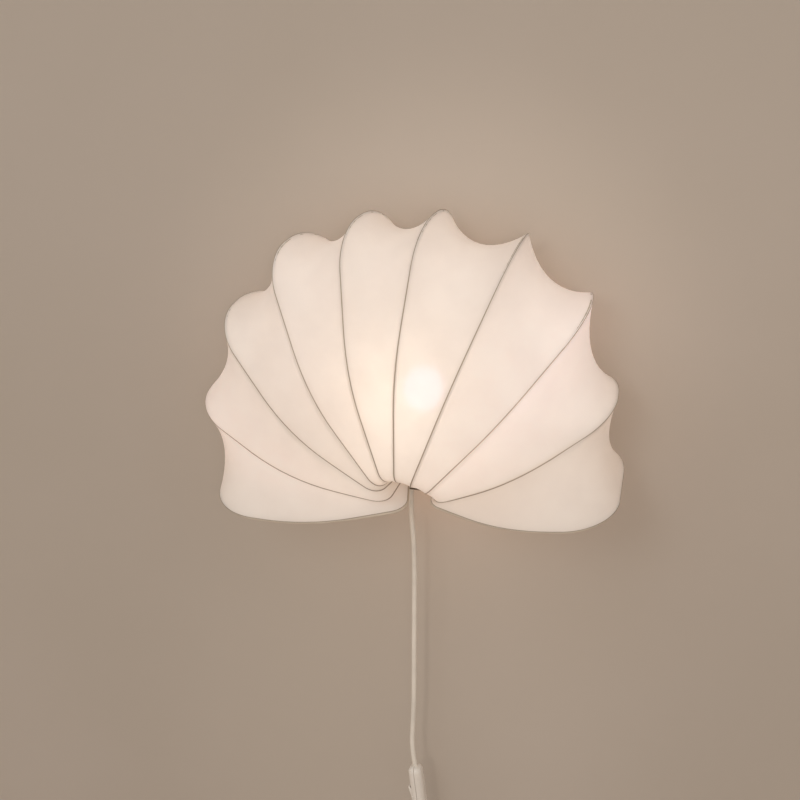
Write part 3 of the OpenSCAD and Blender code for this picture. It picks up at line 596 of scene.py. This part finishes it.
# The panels bow, so each meets the fold at an angle that is steeper by BOW_TURN, and counts up to FOLD_MOST
BOW_TURN, FOLD_MOST = 0.40, 1.05
panel_normal = unit(np.cross(centre_lines[1:] - centre_lines[:-1], ways_along[1:] + ways_along[:-1]))
rib_normal = unit(np.concatenate([panel_normal[:1], panel_normal[1:] + panel_normal[:-1], panel_normal[-1:]]))
fold = np.arccos(np.clip((panel_normal[1:] * panel_normal[:-1]).sum(axis=2), -1, 1)) / 2 + BOW_TURN
fold_off = WIRE_R / np.cos(np.minimum(fold, FOLD_MOST)) + FABRIC_ON_FOLD
fold_off = np.clip(fold_off, FOLD_OFF_LEAST, FOLD_OFF_MOST)
end_off = np.full((1, fold.shape[1]), FABRIC_OFF)
crest = centre_lines + rib_normal * np.concatenate([end_off, fold_off, end_off])[..., None]

# The stretched fabric: stations across a panel, closer together at the ribs
HALF_ACROSS = np.array([0, 0.012, 0.03, 0.06, 0.1, 0.16, 0.24, 0.33, 0.42, 0.5])
ACROSS = np.concatenate([HALF_ACROSS, 1 - HALF_ACROSS[-2::-1]])
# Tension along the ribs against the tension across them: at the front, and for each panel at its rear.
# It goes from one to the other over PULL_RUN of the ribs' length, from PULL_FROM on.
FRONT_PULL = 0.9
REAR_PULL = [0.7, 0.6, 1.6, 2.3, 3.0, 2.8, 2.0, 1.5, 1.6]
PULL_FROM, PULL_RUN = 0.3, 0.6
# How far the hem bows inwards between two ribs, as a share of their distance
HEM_BOW = 0.1
SETTLE_STEPS = 900


def panel(i):
    """The fabric between ribs i and i + 1, pulled tight: each point rests where the pulls on it cancel."""
    a, b = crest[i], crest[i + 1]
    net = a[:, None] * (1 - ACROSS)[None, :, None] + b[:, None] * ACROSS[None, :, None]
    inwards = unit(ways_along[i][-1] + ways_along[i + 1][-1])
    chord = np.linalg.norm(b[-1] - a[-1])
    net[-1] += inwards * (HEM_BOW * chord * 4 * ACROSS * (1 - ACROSS))[:, None]
    step_across = np.diff(ACROSS)
    width = np.linalg.norm(b - a, axis=1)
    step_along = np.linalg.norm(np.diff((a + b) / 2, axis=0), axis=1)
    share = np.concatenate([[0], np.cumsum(step_along)]) / step_along.sum()
    towards_rear = np.clip((share - PULL_FROM) / PULL_RUN, 0, 1)[1:-1, None]
    pull = FRONT_PULL + (REAR_PULL[i] - FRONT_PULL) * towards_rear
    # How strongly each point is pulled to its neighbours, across and along the ribs
    w_left = 1 / (step_across[:-1][None, :] * width[1:-1, None])
    w_right = 1 / (step_across[1:][None, :] * width[1:-1, None])
    cell = (step_across[:-1] + step_across[1:])[None, :] / 2 * width[1:-1, None]
    cell_along = ((step_along[:-1] + step_along[1:]) / 2)[:, None]
    w_up = pull * cell / cell_along / step_along[:-1][:, None]
    w_down = pull * cell / cell_along / step_along[1:][:, None]
    total = (w_left + w_right + w_up + w_down)[..., None]
    for _ in range(SETTLE_STEPS):
        net[1:-1, 1:-1] = (net[1:-1, :-2] * w_left[..., None] + net[1:-1, 2:] * w_right[..., None]
                           + net[:-2, 1:-1] * w_up[..., None] + net[2:, 1:-1] * w_down[..., None]) / total
    return net


# The end sheets: stations from the rib to the inner edge, that edge's distance from the fan's middle, and
# how much further out than the rib it starts
END_SHARES = np.array([0, 0.02, 0.08, 0.2, 0.4, 0.6, 0.8, 1.0])
END_INNER, END_START_MORE = 31.0, 1


def end_sheet(i):
    """The flat panel on the outer side of the first or last rib."""
    spoke, rise = rib_axes(i)
    flat = unit(np.cross(rise, spoke))
    flat *= -np.sign(flat[2])
    q, _ = rib_line(i, hem=0.0)
    rows = len(q)
    inner_depths = np.linspace(q[0][1] + END_START_MORE, REAR, rows)
    inner = in_space(i, np.stack([np.full(rows, END_INNER), inner_depths], 1))
    edge = in_space(i, q) + rib_normal[i][:rows] * FABRIC_OFF
    lift = FABRIC_OFF * np.minimum(END_SHARES / END_SHARES[1], 1)
    net = edge[:, None] * (1 - END_SHARES)[None, :, None] + inner[:, None] * END_SHARES[None, :, None]
    return net + flat * lift[None, :, None]


# One cover: the panels meet on the ribs, and the end sheets start on the first and last rib.
# Each panel has its own share of the light that bounces about inside the shade, given at its two ribs.
GLOW = [(0.06, 0.36), (0.28, 0.08), (0.08, 0.14), (0.14, 0.12), (0.10, 0.10), (0.10, 0.10), (0.12, 0.25),
        (0.55, 0.00), (0.04, 0.06)]
# What stands for the distance to a rib that isn't there, in millimetres
NO_RIB = 1e3
# Points closer than this are one, in metres
SAME_POINT = 0.00005
points, faces, cloth, rib_gaps, glow_shares = [], [], [], [], []


def running(steps):
    """Distances from the start of each row, where the steps between its points are given."""
    return np.concatenate([np.zeros((len(steps), 1)), np.cumsum(steps, axis=1)], 1)


def add_net(net, glow, right_rib=True, flip=False):
    """Add a net of points to the cover, with its cloth coordinates, its distance to the ribs and its glow."""
    rows, cols = net.shape[:2]
    base = len(points)
    from_left = running(np.linalg.norm(np.diff(net, axis=1), axis=2))
    from_right = from_left[:, -1:] - from_left if right_rib else np.full_like(from_left, NO_RIB)
    down = running(np.linalg.norm(np.diff(net[:, cols // 2], axis=0), axis=1)[None])[0]
    for r in range(rows):
        for c in range(cols):
            points.append(net[r, c] / 1000)
            cloth.append((from_left[r, c] / 1000, down[r] / 1000))
            rib_gaps.append(min(from_left[r, c], from_right[r, c]))
            glow_shares.append(glow[0] + (glow[1] - glow[0]) * c / (cols - 1))
    for r in range(rows - 1):
        for c in range(cols - 1):
            here, below = base + r * cols + c, base + (r + 1) * cols + c
            face = [here, here + 1, below + 1, below]
            faces.append(face[::-1] if flip else face)


for i, glow in enumerate(GLOW):
    add_net(panel(i), glow)
add_net(end_sheet(0), GLOW[0][:1] * 2, right_rib=False, flip=True)
add_net(end_sheet(RIBS - 1), GLOW[-1][1:] * 2, right_rib=False)

cover_mesh = bpy.data.meshes.new("shade_cover")
cover_mesh.from_pydata([tuple(p) for p in points], [], faces)
uv = cover_mesh.uv_layers.new(name="cloth")
corner_points = np.zeros(len(cover_mesh.loops), int)
cover_mesh.loops.foreach_get("vertex_index", corner_points)
uv.data.foreach_set("uv", np.array(cloth)[corner_points].ravel())
for name, values in (("rib_gap", rib_gaps), ("glow_share", glow_shares)):
    cover_mesh.attributes.new(name, "FLOAT", "POINT").data.foreach_set("value", np.array(values))
cover = put("shade_cover", cover_mesh)
pick(cover)
with whole_mesh():
    bpy.ops.mesh.remove_doubles(threshold=SAME_POINT)
bpy.ops.object.shade_smooth()


def fabric():
    """White stretch knit that glows: its own glow stands for the light that bounces about inside the shade.

    The wires show as dark lines, painted as the wires' shadows in the lit fabric: rib_gap is the distance to
    the next rib in millimetres.
    """
    weave_turn = 5200.0
    line_mix, through_mix, haze_mix = 0.85, 0.32, 0.3
    bulb_middle = (0.0, -0.070, 0.096)
    m = Material("shade_fabric")
    where = m.place()
    u, v, _ = m.axes(m.node("ShaderNodeUVMap", uv_map="cloth"))
    x, _, z = m.axes(where)
    gap = m.attribute("rib_gap")
    share = m.attribute("glow_share")
    weave = (u * weave_turn).sine() * (v * weave_turn).sine()
    cloud = m.mask(m.noise(where, scale=26, detail=4), 0.3, 0.75)
    # Painted shadow: the wires' dark lines along the ribs, in the colour, the glow and the light let through
    line = line_mix * (1 - m.mask(gap, 0.3, 0.95))
    # Painted shade in the folds along the ribs, fading out over 7 mm
    fold_shade = 1 - m.mask(gap, 0.8, 7.0)
    # The wires' painted shadows are darker lower down
    low_down = 1 - m.mask(z, -0.02, 0.10)
    # Painted shade and warm light: where a panel's glow share is low, near the middle, the fabric is darker
    # and warmer
    warm_shade = 0.6 * (1 - m.mask(share, 0.0, 0.10)) * (1 - 0.7 * m.mask(x.absolute(), 0.08, 0.2))

    base = m.blend(cloud, colour(246, 240, 232), colour(240, 233, 225))
    base = m.blend(warm_shade, base, colour(232, 208, 188))
    base = m.blend(0.08 * fold_shade, base, colour(200, 184, 168))
    base = m.blend(line, base, m.blend(low_down, colour(164, 146, 124), colour(130, 110, 90)))

    from_bulb = m.node("ShaderNodeVectorMath", {0: where, 1: bulb_middle}, output="Value",
                       operation="DISTANCE")
    glow = m.blend(m.mask(z, 0.0, 0.14), colour(205, 166, 160), colour(212, 190, 196))
    glow = m.blend(m.mask(from_bulb, 0.05, 0.17), colour(226, 203, 188), glow)
    # The same painted shade in the folds and painted shadows of the wires, in the glow
    glow = m.blend(0.10 * fold_shade, glow, colour(176, 148, 122))
    glow = m.blend(line, glow, m.blend(low_down, colour(142, 120, 96), colour(92, 74, 58)))
    glow = m.blend(share * (0.5 + 0.5 * m.mask(z, -0.02, 0.03)), (0, 0, 0, 1), glow)

    front = m.principled(Base_Color=base, Roughness=0.85, IOR=1.4, Emission_Color=glow, Emission_Strength=1.0,
                         Normal=m.bump(weave, 0.08, 0.0001))
    through = m.node("ShaderNodeBsdfTranslucent", {"Color": colour(250, 243, 234)})
    haze = m.node("ShaderNodeBsdfRefraction",
                  {"Color": colour(255, 250, 242), "Roughness": 0.55, "IOR": 1.16})
    wire_shade = m.node("ShaderNodeBsdfDiffuse", {"Color": colour(160, 140, 118)})
    passing = m.mix(line, m.mix(haze_mix, through, haze), wire_shade)
    return m.finish(m.mix(through_mix, front, passing))


cover_mesh.materials.append(fabric())
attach(cover, "lamp")
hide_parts(*(["gore_%d" % k for k in range(1, 10)] + ["end_panel_left", "end_panel_right"]))

# The stage: a wall and a floor, in metres.
# The wall has a round hole that the bracket covers, so that light reaches the bracket's back from behind.
WALL_BACK, WALL_WIDE, WALL_UP, WALL_DOWN = 0.0006, 4, 3, 1.1
WALL_HOLE_R, WALL_RING = 0.033, 64
FLOOR_WIDE, FLOOR_CORNERS = 6, ((-1, -1), (1, -1), (1, 1), (-1, 1))


def stage_piece(name, corners, faces, look):
    """A flat piece of the stage, which isn't part of the lamp."""
    mesh = bpy.data.meshes.new(name)
    mesh.from_pydata(corners, [], faces)
    mesh.materials.append(look)
    obj = put(name, mesh)
    return obj


def wall_paint():
    """Wall paint that is seen through from behind."""
    m = Material("wall_paint")
    where = m.place()
    cloud = m.noise(where, scale=2.2)
    rough = m.noise(where, scale=260, detail=4)
    tint = m.blend(m.mask(cloud, *SHEEN), colour(187, 174, 161), colour(184, 171, 157))
    paint = m.principled(Base_Color=tint, Roughness=0.9, Normal=m.bump(rough, 0.1, 0.0006))
    behind = m.node("ShaderNodeNewGeometry", output="Backfacing")
    return m.finish(m.mix(behind, paint, m.node("ShaderNodeBsdfTransparent")))


def floor_paint():
    m = Material("floor_paint")
    tint = m.blend(m.noise(m.place(), scale=3), colour(218, 200, 184), colour(212, 194, 178))
    return m.finish(m.principled(Base_Color=tint, Roughness=0.8))


def wall_mesh():
    """The wall's points, on its hole's edge and on its outer edge in the same directions, and its faces."""
    inner, outer, faces = [], [], []
    for k in range(WALL_RING):
        turn = 2 * math.pi * k / WALL_RING
        c, s = math.cos(turn), math.sin(turn)
        high = WALL_UP if s > 0 else WALL_DOWN
        far = min(WALL_WIDE / max(abs(c), TINY), high / max(abs(s), TINY))
        inner.append((WALL_HOLE_R * c, WALL_BACK, WALL_HOLE_R * s))
        outer.append((far * c, WALL_BACK, far * s))
        after = (k + 1) % WALL_RING
        faces.append((k, WALL_RING + k, WALL_RING + after, after))
    return inner + outer, faces


wall = stage_piece("wall", *wall_mesh(), wall_paint())
floor_points = [(x * FLOOR_WIDE, y * FLOOR_WIDE, -WALL_DOWN) for x, y in FLOOR_CORNERS]
stage_piece("floor", floor_points, [(0, 1, 2, 3)], floor_paint())


def light(name, kind, at, watts, tint, aim=None, cone=None, **settings):
    """A light, aimed at a point where one is given. A spot has its cone in degrees and a soft edge."""
    data = bpy.data.lights.new(name, kind)
    data.energy = watts
    data.color = tint
    if cone:
        data.spot_size = math.radians(cone)
        data.spot_blend = 1.0
    for key, value in settings.items():
        setattr(data, key, value)
    obj = put(name, data)
    obj.location = at
    if aim:
        way = np.array(aim) - np.array(at)
        flat = math.hypot(way[0], way[1])
        obj.rotation_euler = (math.pi / 2 + math.atan2(way[2], flat), 0, math.atan2(-way[0], way[1]))
    return obj


# The bulb's light leaves through its glass, which doesn't shade it
NODES["bulb_glass"].visible_shadow = False
bulb_light = light("bulb_light", "POINT", at=(-0.006, -0.070, 0.094), watts=0.25, tint=(1.0, 0.94, 0.80),
                   shadow_soft_size=0.020)
bulb_light.visible_transmission = False
light("key_light", "AREA", at=(-0.3, -3.2, 2.0), watts=15.0, tint=(0.9, 0.97, 1.0), aim=(0, 0, 0),
      shape="DISK", size=1.2)
# A soft spot from the right gives the wall its glow above and beside the lamp
light("side_spot", "SPOT", at=(0.9, -2.4, 1.2), watts=41.0, tint=(1.0, 0.87, 0.81), aim=(0.07, 0, 0.14),
      cone=16.5, shadow_soft_size=0.25)
# A small one in front gives the lead its narrow shadow on the wall
light("lead_spot", "SPOT", at=(0.15, -3.0, 1.2), watts=34.0, tint=(1.0, 0.95, 0.9), aim=(-0.03, 0, -0.38),
      cone=12, shadow_soft_size=0.08)
# These light only the wall: the bulb's light inside the shade, the glow round a bright lamp as the camera
# sees it, and what spills out beside the hub
wall_only = bpy.data.collections.new("lit_by_back_light")
wall_only.objects.link(wall)
for obj in (
        light("back_light", "POINT", at=(-0.055, -0.050, 0.06), watts=0.6, tint=(1.0, 0.92, 0.84),
              shadow_soft_size=0.04),
        light("wall_spot", "SPOT", at=CAMERA_AT, watts=32.0, tint=(1.0, 0.93, 0.86), aim=(-0.01, 0, 0.125),
              cone=15.4, shadow_soft_size=0.02),
        light("spill_light", "POINT", at=(0.004, -0.035, -0.030), watts=0.05, tint=(1.0, 0.48, 0.30),
              shadow_soft_size=0.008)):
    obj.light_linking.receiver_collection = wall_only

ROOM_LIGHT, ROOM_STRENGTH = (1.0, 0.965, 0.93, 1), 0.76
world = bpy.data.worlds.new("soft_room")
bpy.context.scene.world = world
world.use_nodes = True
background = world.node_tree.nodes["Background"]
background.inputs["Color"].default_value = ROOM_LIGHT
background.inputs["Strength"].default_value = ROOM_STRENGTH
bpy.context.scene.view_settings.view_transform = "Standard"
